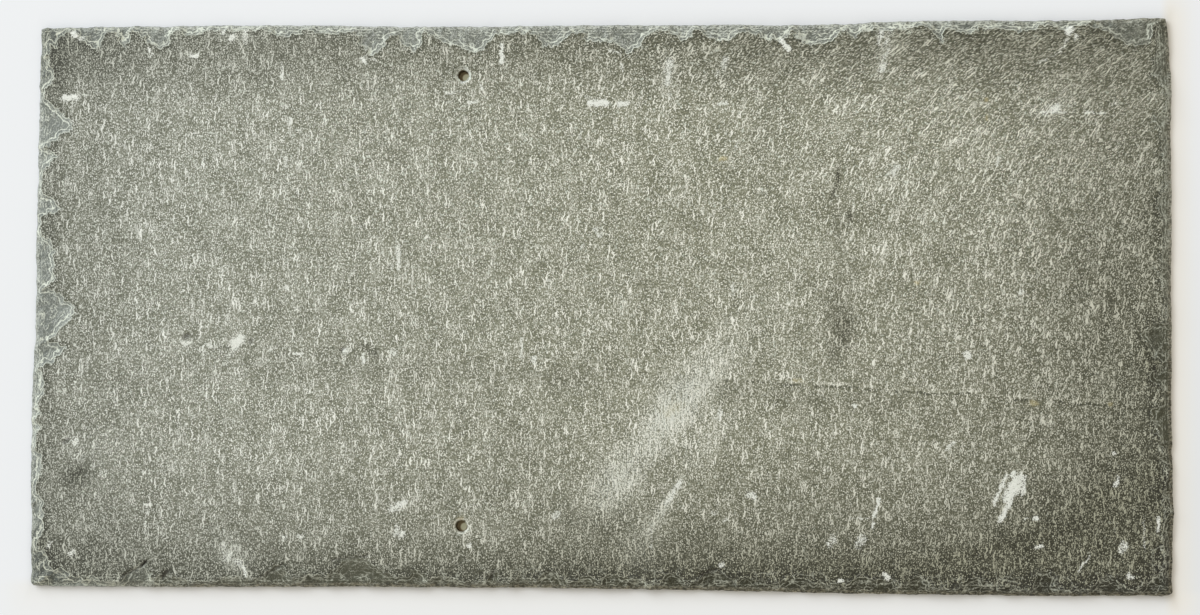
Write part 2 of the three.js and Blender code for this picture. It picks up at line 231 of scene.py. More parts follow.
def turned_place(x, y, mark):
    """Each place as distances from the middle of a mark: along its line, and off to the side."""
    middle_x, middle_y, _, _, turn, _ = mark
    along_x, along_y = math.cos(math.radians(turn)), math.sin(math.radians(turn))
    along = (x - middle_x) * along_x + (y - middle_y) * along_y
    return along, (y - middle_y) * along_x - (x - middle_x) * along_y


def covered(x, y, mark, softness):
    """How much of one mark covers each place: 1 along its middle and 0 beyond its edge."""
    _, _, length, width, _, strength = mark
    along, off = turned_place(x, y, mark)
    beyond = np.maximum(abs(along) - max(length - width, 0) / 2, 0)
    return strength / 100 * smooth(1 + softness, 1 - softness, np.hypot(beyond, off) * 2 / width)


def marked(x, y, marks, softness=0.7):
    """The strongest cover of any of these marks at each place."""
    total = np.zeros(len(x))
    for mark in marks:
        reach = mark[2] / 2 + mark[3]
        near = (abs(x - mark[0]) < reach) & (abs(y - mark[1]) < reach)
        total[near] = np.maximum(total[near], covered(x[near], y[near], mark, softness))
    return total


def scattered(x, y, marks):
    """The cover of some marks with ragged edges."""
    ragged_x = x + 0.7 * noise(x / 2.2, y / 2.2, 95) + 0.3 * noise(x / 1.1, y / 1.1, 96)
    ragged_y = y + 0.7 * noise(x / 2.2, y / 2.2, 97) + 0.3 * noise(x / 1.1, y / 1.1, 98)
    return marked(ragged_x, ragged_y, marks)


def clouded(x, y, marks):
    """The sum of soft clouds, each as wide as its mark."""
    total = np.zeros(len(x))
    for mark in marks:
        along, off = turned_place(x, y, mark)
        along, off = along * 2 / mark[2], off * 2 / mark[3]
        total += mark[5] / 100 * np.exp(-1.2 * (along ** 2 + off ** 2))
    return total


# ---- The CAD slate ----


class CadSlate:
    """The CAD mesh in millimetres: its depth below the face, and the loops round its back."""

    def __init__(self, obj):
        mesh = obj.data
        mesh.calc_loop_triangles()
        self.points = np.array([vertex.co for vertex in mesh.vertices], dtype=float) / MM
        self.triangles = np.array([triangle.vertices for triangle in mesh.loop_triangles])
        self.tree = BVHTree.FromPolygons(self.points.tolist(), self.triangles.tolist())

    def depth(self, x, y):
        """How far the surface lies below the face at each place."""
        down = Vector((0, 0, -1))
        out = np.zeros(len(x))
        for i, (px, py) in enumerate(zip(x.tolist(), y.tolist())):
            hit = self.tree.ray_cast(Vector((px, py, THICKNESS + 1)), down)[0]
            if hit is None or hit.z < 1:
                hit = self.tree.find_nearest(Vector((px, py, THICKNESS)))[0]
            out[i] = THICKNESS - hit.z
        return out

    def back_loops(self):
        """The closed loops round the flat back, clockwise from above: the outline, then the holes."""
        names = {}
        ids = [names.setdefault(tuple(p), len(names)) for p in np.round(self.points, 3).tolist()]
        places = dict(zip(ids, self.points[:, :2]))
        on_back = self.triangles[(self.points[self.triangles][:, :, 2] < 1e-3).all(axis=1)]
        loops = boundary_loops(np.array(ids)[on_back])
        loops = [np.array([places[i] for i in loop]) for loop in loops]
        return sorted(loops, key=lambda loop: -np.ptp(loop[:, 0]))


def boundary_loops(triangles):
    """The chains of corner numbers along the open edges of a sheet of triangles."""
    edges = np.concatenate([triangles[:, [0, 1]], triangles[:, [1, 2]], triangles[:, [2, 0]]])
    present = set(map(tuple, edges.tolist()))
    following = {a: b for a, b in present if (b, a) not in present}
    loops = []
    while following:
        start, at = following.popitem()
        loop = [start]
        while at != start:
            loop.append(at)
            at = following.pop(at)
        loops.append(loop)
    return loops


# ---- Points ----


def ragged_outline(loop, step):
    """The outline with a point every step or so, and the fine raggedness of a broken edge."""
    closed = np.vstack([loop, loop[:1]])
    lengths = np.hypot(*np.diff(closed, axis=0).T)
    travelled = np.concatenate([[0], np.cumsum(lengths)])
    count = int(travelled[-1] / step)
    places = np.arange(count) * travelled[-1] / count
    x, y = (np.interp(places, travelled, side) for side in closed.T)
    out_x, out_y = loop_normals(x, y)
    stray = 0.26 * noise(places / 3.1, places * 0, 5) + 0.16 * noise(places / 1.3, places * 0, 6)
    return x + out_x * stray, y + out_y * stray


def loop_normals(x, y):
    """Unit normals to the right of a loop's direction: outwards for a counter-clockwise one."""
    dx, dy = (np.roll(side, -1) - np.roll(side, 1) for side in (x, y))
    length = np.hypot(dx, dy)
    return dy / length, -dx / length


def ring(centre, radius, step):
    """Points round a circle, about a step apart."""
    count = max(12, int(2 * np.pi * radius / step))
    angle = np.arange(count) * 2 * np.pi / count
    ragged = 0.05 * noise(3 * np.cos(angle), 3 * np.sin(angle) + centre[1], 9)
    return centre[0] + (radius + ragged) * np.cos(angle), centre[1] + (radius + ragged) * np.sin(angle)


def nested_lattice(half_x, half_y, step):
    """A triangular lattice over a rectangle, with the coarsest level that each point belongs to."""
    rows = int(half_y / (step * math.sqrt(3) / 2)) + 1
    columns = int(half_x / step) + rows + 1
    grid = np.meshgrid(np.arange(-columns, columns + 1), np.arange(-rows, rows + 1))
    a, b = grid[0].ravel(), grid[1].ravel()
    x = step * (a + b / 2)
    y = step * b * math.sqrt(3) / 2
    within = (abs(x) < half_x) & (abs(y) < half_y)
    a, b, x, y = a[within], b[within], x[within], y[within]
    level = np.ones(len(a), dtype=int)
    for multiple in (2, 4):
        level[(a % multiple == 0) & (b % multiple == 0)] = multiple
    return x, y, level


# ---- Relief ----


def ridge_height(x):
    """Where the cleavage line runs, as y for each x."""
    path = np.array(RIDGE_PATH, dtype=float)
    middle = np.interp(x, path[:, 0], path[:, 1])
    return middle + 1.2 * noise(x / 17, x * 0, 31) + 0.4 * noise(x / 4, x * 0, 32)


def grain_coordinate(x, y):
    """Across the grain in millimetres: the streaks run along its level lines, leaning at the right."""
    lean = smooth(-60, 250, x)
    up = np.clip((y + HALF_WIDTH) / (2 * HALF_WIDTH), 0, 1)
    return x - 2 * HALF_WIDTH * lean * (0.08 * up + 0.26 * up ** 5)


def jagged(x, y, seed):
    """Noise with sharp corners, as hand-dressed edges break."""
    coarse = abs(noise(x / 5.2, y / 5.2, seed)) - 0.3
    fine = abs(noise(x / 2.3, y / 2.3, seed + 5)) - 0.3
    return 2.2 * coarse + 1.1 * fine


def flake_depth(cad, x, y, from_outline, from_hole):
    """Depth of the flakes' floors, with ragged rims, floors broken along the layers and crumbled trim.

    The second value counts the layers down from the face, and the third is 1 on a flake and 0 off it.
    """
    free = smooth(0.2, 3.0, from_outline) * smooth(1.0, 9.0, from_hole)
    warp_x = 1.5 * noise(x / 9, y / 9, 41) + jagged(x, y, 42)
    warp_y = 1.5 * noise(x / 9, y / 9, 43) + jagged(x, y, 44)
    inset = INSET * smooth(1.6, 0, from_outline)
    raw = cad.depth(x * (1 - inset / HALF_LENGTH) + free * warp_x,
                    y * (1 - inset / HALF_WIDTH) + free * warp_y)
    crumbs = from_outline + 1.5 * noise(x / 2.6, y / 2.6, 49) + 0.7 * noise(x / 1.2, y / 1.2, 50)
    crumbled = smooth(2.6, 0.4, crumbs) * smooth(4.5, 2.5, from_outline)
    raw = raw + CRUMB_DEPTH * crumbled
    flaked = smooth(0.02, 0.12, raw)
    depth = raw + RIM_DROP * flaked
    layers = depth / LAMINA + flaked * 0.8 * layered_noise(x / 6, y / 6, 45)
    whole = np.floor(layers)
    terraced = LAMINA * (whole + smooth(0.55, 1.0, layers - whole))
    depth = np.where(flaked > 0, 0.3 * depth + 0.7 * terraced, 0)
    hackle = 0.12 * layered_noise(x / 2.2, y / 2.2, 46)
    return np.maximum(depth + flaked * hackle, 0) * (flaked > 0), layers * flaked, flaked


def riven_relief(x, y):
    """The low waves of the split face, with the step at the cleavage line."""
    across = grain_coordinate(x, y)
    waves = 0.16 * layered_noise(across / 38, y / 75, 51) + 0.05 * noise(across / 7, y / 16, 52)
    step = smooth(-0.6, 0.6, y - ridge_height(x)) * smooth(-250, -180, x)
    return waves + RIDGE_STEP * (step - 0.5)


def from_sides(x, y):
    """Distance in from the nearest side of the slate, as if its sides were straight."""
    return np.minimum(HALF_LENGTH - abs(x), HALF_WIDTH - abs(y))


def rim_distance(x, y, flaked):
    """Distance in from the rims of the flakes, and below 0 for the distance out from them."""
    on = flaked > 0.5
    near = from_sides(x, y) < EDGE_BAND
    distance = np.where(on, 6.0, -6.0)
    distance[on] = np.minimum(distance_to([(x[near & ~on], y[near & ~on])], x[on], y[on]), 6)
    out = near & ~on
    distance[out] = np.maximum(-distance_to([(x[on], y[on])], x[out], y[out]), -6)
    return distance


def turned_to_window(cad, x, y, clean):
    """How far the slopes of the flakes turn to the window: 1 towards it and -1 away from it."""
    # The top and the head count as turned to the window, so that the lines there are painted lit.
    turned = clean * 0.9 - 0.15
    near = np.nonzero(from_sides(x, y) < EDGE_BAND)[0]
    x, y = x[near] * (1 - 2 / HALF_LENGTH), y[near] * (1 - 2 / HALF_WIDTH)
    reach = 1.4
    slope_x = cad.depth(x + reach, y) - cad.depth(x - reach, y)
    slope_y = cad.depth(x, y + reach) - cad.depth(x, y - reach)
    facing = slope_x * WINDOW_SIDE[0] + slope_y * WINDOW_SIDE[1]
    turned[near] += facing / (np.hypot(slope_x, slope_y) + 0.08)
    return np.clip(turned, -1, 1)


def lit_and_clean_edges(x, y):
    """1 at the top and the head, where broken edges have stayed fresh and are painted lit from the
    window, and 0 at the foot and tail, weathered and painted as in shade.
    """
    return np.clip(smooth(-60, 60, y) + smooth(-170, -230, x), 0, 1) * smooth(285, 190, x)


def painted_shade_and_tone_of_face(x, y):
    """How dark the ground is, partly painted shade and partly its own tone: 0 in the pale middle,
    towards 1 at the foot and the tail.
    """
    shade = 0.05 * layered_noise(x / 60, y / 60, 91) + clouded(x, y, STAINED)
    for strength, ramp_x, ramp_y in DARKENED:
        shade += strength * smooth(*ramp_x, x) * smooth(*ramp_y, y)
    return np.clip(shade, 0, 1)


# ---- Mesh ----


def triangulate(loops, extra):
    """A sheet of triangles inside the first loop and outside the others, through extra points."""
    edges = []
    for loop in loops:
        first, count = len(edges), len(loop[0])
        edges += [(first + i, first + (i + 1) % count) for i in range(count)]
    points = [Vector(place) for place in np.hstack([*loops, extra]).T.tolist()]
    whole_hull = 0
    found, _, faces, order, *_ = delaunay_2d_cdt(points, edges, [], whole_hull, 1e-4, True)
    found = np.array([tuple(p) for p in found])
    faces = np.array(faces)
    rim = np.array([min(numbers, default=0) < len(edges) for numbers in order])
    doubtful = np.nonzero(rim[faces].all(axis=1))[0]
    outside = doubtful[~inside(loops, *found[faces[doubtful]].mean(axis=1).T)]
    return found, np.delete(faces, outside, axis=0)


def distance_to(loops, x, y):
    """Distance from each place to the nearest point of some loops."""
    places = np.hstack(loops).T.tolist()
    tree = kdtree.KDTree(len(places))
    for number, place in enumerate(places):
        tree.insert((*place, 0), number)
    tree.balance()
    return np.array([tree.find((px, py, 0))[2] for px, py in zip(x.tolist(), y.tolist())])


def from_holes(x, y, holes):
    """Distance from each place to the wall of the nearest hole."""
    return np.min([np.hypot(x - c[0], y - c[1]) - r for c, r in holes], axis=0)


def lee_of_holes(places, holes):
    """1 on the side of the nearest hole away from the window, and -1 on the side towards it."""
    centres = np.array([centre for centre, _ in holes])
    out = places - centres[np.hypot(*(places[:, None] - centres).T).argmin(axis=0)]
    return -out @ np.array(WINDOW_SIDE) / (np.hypot(*out.T) + 1e-9)


def grown(marks):
    """The same marks with a margin round them, and all of them at full strength."""
    return [(x, y, length + 1, width + 1, turn, 100) for x, y, length, width, turn, _ in marks]


def face_points(cad, outline, hole_loops, holes):
    """Points of the face: close together in the flakes and marks, and wide apart elsewhere."""
    x, y, level = nested_lattice(HALF_LENGTH + MARGIN, HALF_WIDTH + MARGIN, FINE_STEP)
    from_edge = from_sides(x, y)
    near = from_edge < EDGE_BAND
    sampled = near & (level > 1)
    flaked = cad.depth(x[sampled], y[sampled]) > 0.02
    from_flake = np.full(len(x), EDGE_BAND)
    from_flake[near] = distance_to([(x[sampled][flaked], y[sampled][flaked])], x[near], y[near])
    wanted = np.full(len(x), FACE_LEVEL)
    wanted[(from_flake < 6) | (from_edge < 6) | (abs(y - ridge_height(x)) < 1.5)] = 2
    wanted[(from_flake < 2.4) | (from_edge < 2)] = 1
    thin = tuple(mark for mark in STAINED + OCHRE if mark[3] < 3)
    wanted[marked(x, y, grown(CHALK + NICKS + thin)) > 0] = 1
    for centre, _ in holes:
        away = np.hypot(x - centre[0], y - centre[1])
        wanted[away < 16] = np.minimum(wanted[away < 16], 2)
        wanted[away < 9] = 1
    keep = level >= wanted
    x, y, wanted = x[keep], y[keep], wanted[keep]
    jitter = 0.22 * FINE_STEP * wanted
    x = x + jitter * noise(x * 1.7, y * 1.7, 61)
    y = y + jitter * noise(x * 1.7, y * 1.7, 62)
    rim_room = distance_to([outline] + hole_loops, x, y)
    keep = (rim_room > 0.5 * FINE_STEP) & (from_holes(x, y, holes) > HOLE_RINGS[-1] + 0.3)
    doubtful = np.nonzero(keep & (from_sides(x, y) < MARGIN))[0]
    keep[doubtful] = inside([outline], x[doubtful], y[doubtful])
    rings = [ring(c, r + out, 0.6 + 0.12 * out) for c, r in holes for out in HOLE_RINGS]
    return [np.concatenate(parts) for parts in zip((x[keep], y[keep]), *rings)]


def inside(loops, x, y):
    """Whether each place is inside an odd number of these loops."""
    start_x, start_y = np.hstack(loops)
    end_x, end_y = np.hstack([np.roll(loop, -1, axis=1) for loop in loops])
    result = np.empty(len(x), dtype=bool)
    for i in range(len(x)):
        crosses = (start_y > y[i]) != (end_y > y[i])
        share = (y[i] - start_y[crosses]) / (end_y[crosses] - start_y[crosses])
        at = start_x[crosses] + share * (end_x[crosses] - start_x[crosses])
        result[i] = np.count_nonzero(at > x[i]) % 2 == 1
    return result


def wall_below(x, y, top, seed):
    """Rows of points from just under a loop down to the back, each row a ledge of split layers."""
    out_x, out_y = loop_normals(x, y)
    along = np.concatenate([[0], np.cumsum(np.hypot(np.diff(x), np.diff(y)))])
    rows = []
    for row in range(1, WALL_ROWS + 1):
        share = row / WALL_ROWS
        ledge = 0.22 * noise(along / 11, along * 0 + row * 1.7, seed)
        ledge += 0.09 * noise(along / 2.6, along * 0 + row * 1.7, seed)
        stray = ledge * (row < WALL_ROWS) * smooth(0, 1, abs(along[-1] / 2 - abs(along - along[-1] / 2)))
        rows.append(np.column_stack([x + out_x * stray, y + out_y * stray, top * (1 - share)]))
    return rows


def strip(upper, lower):
    """Triangles that join two loops of vertex numbers of the same length, upper above lower."""
    upper_next, lower_next = np.roll(upper, -1), np.roll(lower, -1)
    return np.concatenate([np.column_stack([upper, lower, lower_next]),
                           np.column_stack([upper, lower_next, upper_next])])


def add_walls(face, x, y, height, vertices, triangles):
    """Adds the walls round the slate and its holes. Returns their lowest loops, longest first."""
    made = len(x)
    feet = []
    for number, loop in enumerate(boundary_loops(face)):
        loop = np.array(loop)
        upper = loop
        for row in wall_below(x[loop], y[loop], height[loop], 71 + number):
            lower = made + np.arange(len(loop))
            vertices.append(row)
            triangles.append(strip(upper, lower))
            upper = lower
            made += len(loop)
        feet.append((upper, vertices[-1]))
    return sorted(feet, key=lambda pair: -len(pair[0]))


def add_back(feet, vertices, triangles):
    """Adds the back between the feet of the walls, hollowed by a tenth or two of a millimetre."""
    x, y, _ = nested_lattice(HALF_LENGTH, HALF_WIDTH, BACK_STEP)
    rims = [points[:, :2].T for _, points in feet]
    room = (distance_to(rims, x, y) > 0.5 * BACK_STEP) & inside(rims, x, y)
    sheet, back = triangulate(rims, (x[room], y[room]))
    numbers = {}
    for loop, points in feet:
        for vertex, point in zip(loop.tolist(), np.round(points[:, :2], 3).tolist()):
            numbers[tuple(point)] = vertex
    made = sum(len(part) for part in vertices)
    index = np.empty(len(sheet), dtype=int)
    fresh = []
    for i, point in enumerate(np.round(sheet, 3).tolist()):
        index[i] = numbers.get(tuple(point), made + len(fresh))
        if tuple(point) not in numbers:
            fresh.append(sheet[i])
    fresh = np.array(fresh)
    hollow = 0.14 * (1 + layered_noise(fresh[:, 0] / 40, fresh[:, 1] / 60, 81))
    vertices.append(np.column_stack([fresh, np.maximum(hollow, 0)]))
    triangles.append(index[back][:, ::-1])


def build_slate(cad):
    """The whole fine mesh: vertices, triangles and the vertex values that the material reads."""
    outline_loop, *hole_loops = cad.back_loops()
    holes = [(loop.mean(axis=0), np.hypot(*(loop - loop.mean(axis=0)).T).mean()) for loop in hole_loops]
    outline = ragged_outline(outline_loop[::-1], FINE_STEP)
    hole_edges = [ring(c, r, 0.6) for c, r in holes]

    flat, face = triangulate([outline] + hole_edges, face_points(cad, outline, hole_edges, holes))
    x, y = flat.T
    from_outline = distance_to([outline], x, y)
    depth, layers, flaked = flake_depth(cad, x, y, from_outline, from_holes(x, y, holes))
    relief = riven_relief(x, y) * smooth(0, 6, from_outline)
    height = THICKNESS - depth + relief * (1 - 0.7 * smooth(0.1, 0.6, depth)) - marked(x, y, NICKS, 0.8)
    vertices = [np.column_stack([x, y, height])]
    triangles = [face]
    feet = add_walls(face, x, y, height, vertices, triangles)
    add_back(feet, vertices, triangles)

    vertices = np.concatenate(vertices)
    triangles = np.concatenate(triangles)
    below = vertices[len(x):]
    x, y = vertices[:, :2].T
    clean = lit_and_clean_edges(x, y)
    return vertices, triangles, {
        "lee": lee_of_holes(vertices[:, :2], holes),
        "layers": np.concatenate([layers, (THICKNESS - below[:, 2]) / LAMINA]),
        "edge": np.concatenate([from_outline, np.zeros(len(below))]),
        "hole": from_holes(x, y, holes),
        "rim": np.concatenate([rim_distance(*flat.T, flaked), np.full(len(below), 6.0)]),
        "grain": grain_coordinate(x, y),
        "shade": painted_shade_and_tone_of_face(x, y),
        "chalk": scattered(x, y, CHALK),
        "ochre": scattered(x, y, OCHRE),
        "nicks": marked(x, y, NICKS),
        "ridge": y - ridge_height(x),
        "clean": clean,
        "turned": turned_to_window(cad, x, y, clean),
        "rubbed": clouded(x, y, RUBBED),
    }


def linked(name, data):
    """An object of this name, in the scene."""
    obj = bpy.data.objects.new(name, data)
    bpy.context.scene.collection.objects.link(obj)
    return obj


def make_object(name, vertices, triangles, values):
    mesh = bpy.data.meshes.new(name)
    mesh.from_pydata((vertices * MM).tolist(), [], triangles.tolist())
    mesh.validate()
    mesh.shade_smooth()
    mesh.set_sharp_from_angle(angle=math.radians(SHARP_TURN))
    for key, value in values.items():
        layer = mesh.attributes.new(key, "FLOAT", "POINT")
        layer.data.foreach_set("value", value.astype(np.float32))
    return linked(name, mesh)


# ---- Material ----


class Nodes:
    """A short way to write a node tree: each method adds a node and returns its output."""

    def __init__(self, material):
        material.use_nodes = True
        self.tree = material.node_tree
        self.tree.nodes.clear()

    def add(self, kind, inputs=(), **settings):
        """Adds a node with these values or links in its inputs, and returns the node."""
        node = self.tree.nodes.new("ShaderNode" + kind)
        for key, value in settings.items():
            setattr(node, key, value)
        for key, value in dict(inputs).items():
            socket = node.inputs[key]
            if isinstance(value, bpy.types.NodeSocket):
                self.tree.links.new(value, socket)
            else:
                socket.default_value = value
        return node

    def math(self, operation, *values, clamp=False):
        return self.add("Math", enumerate(values), operation=operation, use_clamp=clamp).outputs[0]

    times = partialmethod(math, "MULTIPLY")
    plus = partialmethod(math, "ADD")
    less = partialmethod(math, "SUBTRACT")
    larger = partialmethod(math, "MAXIMUM")
    times_plus = partialmethod(math, "MULTIPLY_ADD")

    def away(self, value, middle):
        """How far a value is from the middle, whichever way."""
        return self.math("ABSOLUTE", self.less(value, middle))

    def noise(self, vector, scale, detail=0, roughness=0.5):
        inputs = {"Vector": vector, "Scale": scale, "Detail": detail, "Roughness": roughness}
        return self.add("TexNoise", inputs).outputs["Fac"]

    def steps(self, value, low, high, to_low=0, to_high=1):
        inputs = {"Value": value, "From Min": low, "From Max": high, "To Min": to_low, "To Max": to_high}
        return self.add("MapRange", inputs, interpolation_type="SMOOTHSTEP").outputs["Result"]

    def mix(self, factor, first, second):
        return self.add("Mix", {0: factor, 6: first, 7: second}, data_type="RGBA").outputs[2]

    def attribute(self, name):
        return self.add("Attribute", attribute_name=name).outputs["Fac"]

    def vector(self, x, y, z):
        return self.add("CombineXYZ", {"X": x, "Y": y, "Z": z}).outputs[0]

    def place(self):
        """The place on the object, as its x, y and z in metres."""
        return self.add("SeparateXYZ", {0: self.add("TexCoord").outputs["Object"]}).outputs


class SlateNodes(Nodes):
    """The nodes of the slate, with the values that several parts of its look share."""

    def __init__(self, material):
        super().__init__(material)
        self.x, self.y, self.z = (self.times(metres, 1 / MM) for metres in self.place())
        self.here = self.vector(self.x, self.y, self.z)
        self.across = self.attribute("grain")
        self.shade = self.attribute("shade")
        # The top and the head are fresh and painted lit from the window; the foot and the tail are
        # weathered and painted as in shade.
        self.clean = self.attribute("clean")
        self.worn_and_shaded = self.less(1, self.clean)
        self.edge = self.attribute("edge")
        self.hole = self.attribute("hole")
        self.turned = self.attribute("turned")
        self.inwards = self.attribute("rim")
        self.on_flake = self.steps(self.inwards, -0.5, 0.3)
        self.patches = self.steps(self.noise(self.here, 0.28, 2), 0.42, 0.58)
        self.wiggle = self.noise(self.here, 0.7, 3, 0.6)
        self.crumb = self.noise(self.here, 1.15, 2, 0.6)


def srgb(red, green, blue):
    """A colour written as 0 to 255 sRGB, in the linear values that Blender takes."""
    def linear(value):
        value /= 255
        return value / 12.92 if value <= 0.04045 else ((value + 0.055) / 1.055) ** 2.4
    return (linear(red), linear(green), linear(blue), 1.0)


# The ground between the flecks, and the flecks: first the warm colour and then the cool one.
GROUND = srgb(133, 134, 108), srgb(135, 139, 125)
FLECKS = srgb(255, 255, 242), srgb(248, 252, 247)
# The shaded colours follow the shade value, which is partly painted shade.
SHADED_GROUND = srgb(52, 52, 30), srgb(57, 60, 50)
SHADED_FLECKS = srgb(180, 180, 157), srgb(176, 181, 168)
# First in the pale middle of the face, and then where the ground is darkest.
FRESH_SCAR = srgb(150, 161, 160), srgb(101, 109, 105)
# The dark of hollows and pits, which also paints shade on lines turned from the window and beside the
# flakes.
HOLLOW_AND_SHADE = srgb(80, 83, 68), srgb(34, 33, 22)
# Pale lines: painted highlights on flake rims, and cracks and split layers.
HIGHLIGHT_AND_PALE_LINE = srgb(235, 242, 229), srgb(212, 215, 196)
# These vary from the first colour to the second.
EARTH = srgb(56, 51, 37), srgb(160, 153, 130)
CHALK_WHITE = srgb(226, 232, 218), srgb(255, 255, 248)
RUBBED_GREY = srgb(216, 221, 209)
OCHRE_YELLOW = srgb(206, 192, 136)
NICK_SHADE_BROWN = srgb(44, 42, 32)
HOLE_WALL_SHADE_BROWN = srgb(92, 80, 54)


# The kinds of flecks in the grain: the shift of their cells, the width and length of a cell, the size
# of a fleck in it, the share of the cells that have one, and how pale they are.
GRAIN_FLECKS = (
    (0, 0.88, 1.5, 0.3, 0.9, 0.64), (60, 0.88, 1, 0.28, 0.55, 2.2),
    (90, 1.4, 4.6, 0.2, 0.32, 1.25), (40, 1.6, 13, 0.2, 0.44, 1.35),
)


def flecks(n, across, width, length, size, share):
    """Pale flecks drawn out along the grain: one to a cell of this width and length, some left out."""
    place = n.vector(n.times(across, 1 / width), n.times(n.y, 1 / length), 0)
    cells = n.add("TexVoronoi", {"Vector": place, "Scale": 1}, voronoi_dimensions="2D")
    chance = n.add("SeparateColor", {0: cells.outputs["Color"]})
    reach = n.steps(chance.outputs["Red"], 1 - share, 1.15 - share, 0, size)
    fill = n.less(reach, cells.outputs["Distance"])
    strength = n.times_plus(chance.outputs["Green"], 0.5, 0.5)
    return n.times(n.steps(fill, 0, 0.06), strength)


def grain(n):
    """How pale the face is, from the flecks and strands of the grain."""
    bend = n.noise(n.vector(n.times(n.across, 0.35), n.times(n.y, 0.6), 0), 0.5, 2, 0.6)
    swayed = n.plus(n.across, n.times_plus(bend, 3.4, -1.7))
    wander = n.noise(n.vector(swayed, n.times(n.y, 0.1), 0), 0.8, 1, 0.55)
    strands = n.steps(n.away(wander, 0.5), 0.026, 0.006)
    broken = n.noise(n.vector(n.across, n.times(n.y, 0.3), 7), 0.5, 2, 0.6)
    pale = n.times(strands, n.steps(broken, 0.5, 0.6, 0, 1.2))
    for shift, width, length, size, share, strength in GRAIN_FLECKS:
        kind = flecks(n, n.plus(swayed, shift), width, length, size, share)
        pale = n.larger(pale, n.times(kind, strength))
    coarse = flecks(n, n.plus(swayed, 20), 2.2, 4.6, 0.24, 0.45)
    coarse = n.times(coarse, n.steps(n.y, 60, 95, 1, 0.4))
    pale = n.larger(pale, n.times(coarse, n.steps(n.x, 40, 180, 0, 0.95)))
    grit = n.noise(n.vector(n.across, n.times(n.y, 0.62), 0), 2.3)
    clouds = n.noise(n.vector(n.across, n.times(n.y, 0.6), 0), 0.11, 3, 0.65)
    pale = n.plus(pale, n.steps(grit, 0.32, 0.68, -0.32, 0.22))
    return n.plus(pale, n.steps(clouds, 0.36, 0.66, -0.1, 0.07))


def rubbed_haze(n):
    """The haze of the rubbed places, in fine streaks along the grain."""
    streaks = n.noise(n.vector(n.across, n.times(n.y, 0.14), 0), 1.5, 2, 0.7)
    return n.times(n.attribute("rubbed"), n.steps(streaks, 0.36, 0.62, 0.05, 2.2))


def cleavage_shade_and_highlight(n):
    """The cleavage line: a dark line of painted shade at the foot of the step, and a pale line of
    painted highlight above it.
    """
    ridge = n.times_plus(n.noise(n.here, 0.5, 2, 0.6), 1.2, n.attribute("ridge"))
    dark = n.times(n.steps(n.math("ABSOLUTE", ridge), 0.8, 0.2), 1.6)
    painted_lines = n.less(n.steps(n.away(ridge, 1.5), 1.2, 0.3), dark)
    painted_lines = n.times(painted_lines, n.steps(n.noise(n.here, 0.12, 3), 0.4, 0.6, 0.1, 1))
    return n.times(painted_lines, n.steps(n.x, 30, 75, 0.1, 0.23))


def on_flakes(n, tone):
    """The tone with the flakes in it: smoother, with slanting streaks, a painted shade just outside
    their rims, and painted light on floors that turn to the window.
    """
    smoothed = n.times(n.on_flake, n.times_plus(n.worn_and_shaded, -0.32, -0.5))
    tone = n.times_plus(tone, smoothed, tone)
    slanting = n.vector(n.less(n.x, n.y), n.times(n.plus(n.x, n.y), 0.16), 0)
    striae = n.times_plus(n.noise(slanting, 0.75, 2, 0.65), 2, -1)
    tone = n.times_plus(striae, n.times(n.on_flake, n.times_plus(n.worn_and_shaded, -0.22, 0.5)), tone)
    tone = n.times_plus(n.on_flake, n.times(n.worn_and_shaded, 0.05), tone)
    # Painted shade on the face just outside the rims of the flakes.
    outside = n.times(n.steps(n.inwards, -3.2, -0.5), n.steps(n.inwards, 0.3, -0.3))
    tone = n.times_plus(outside, -0.2, tone)
    # Painted light on flake floors turned to the window, and painted shade on those turned away.
    painted_light_on_flakes = n.times(n.on_flake, n.steps(n.inwards, 3, 0.3, 0.05, 0.12))
    return n.times_plus(n.turned, painted_light_on_flakes, tone)


def along_outline(n, tone, trim):
    """The tone with the crumbs of the trim, a pale arris painted lit at the top and the head, and darker
    along the weathered foot and tail, partly as painted shade.
    """
    gaps = n.times(n.steps(n.crumb, 0.38, 0.47, -0.6, 0), n.times_plus(n.worn_and_shaded, 0.7, 0.3))
    chips = n.plus(n.steps(n.crumb, 0.49, 0.59, 0, 1.1), gaps)
    tone = n.times_plus(chips, trim, tone)
    tone = n.times_plus(n.steps(n.edge, 1.1, 0.3), n.times(n.clean, 0.5), tone)
    low_tail = n.times(n.steps(n.x, 130, 190), n.steps(n.y, -98, -110))
    dulled = n.times(n.worn_and_shaded, n.times_plus(low_tail, -0.2, -0.12))
    return n.times_plus(n.steps(n.edge, 14, 4), dulled, tone)


def hole_rings(n):
    """The pale bruised ring round each nail hole, widest and brightest on the side away from the window
    as a painted highlight, where its spall faces the light.
    """
    lee = n.attribute("lee")
    ring = n.steps(n.hole, n.times_plus(lee, 1.8, 2.6), 0.4)
    ring = n.times(ring, n.times_plus(lee, 0.35, 0.4))
    ring = n.times(ring, n.steps(n.crumb, 0.4, 0.58, 0, 1.2))
    rim = n.steps(n.away(n.hole, 0.8), 0.55, 0.2)
    return n.larger(ring, n.times(rim, n.steps(n.crumb, 0.38, 0.54, 0.1, 1.3)))


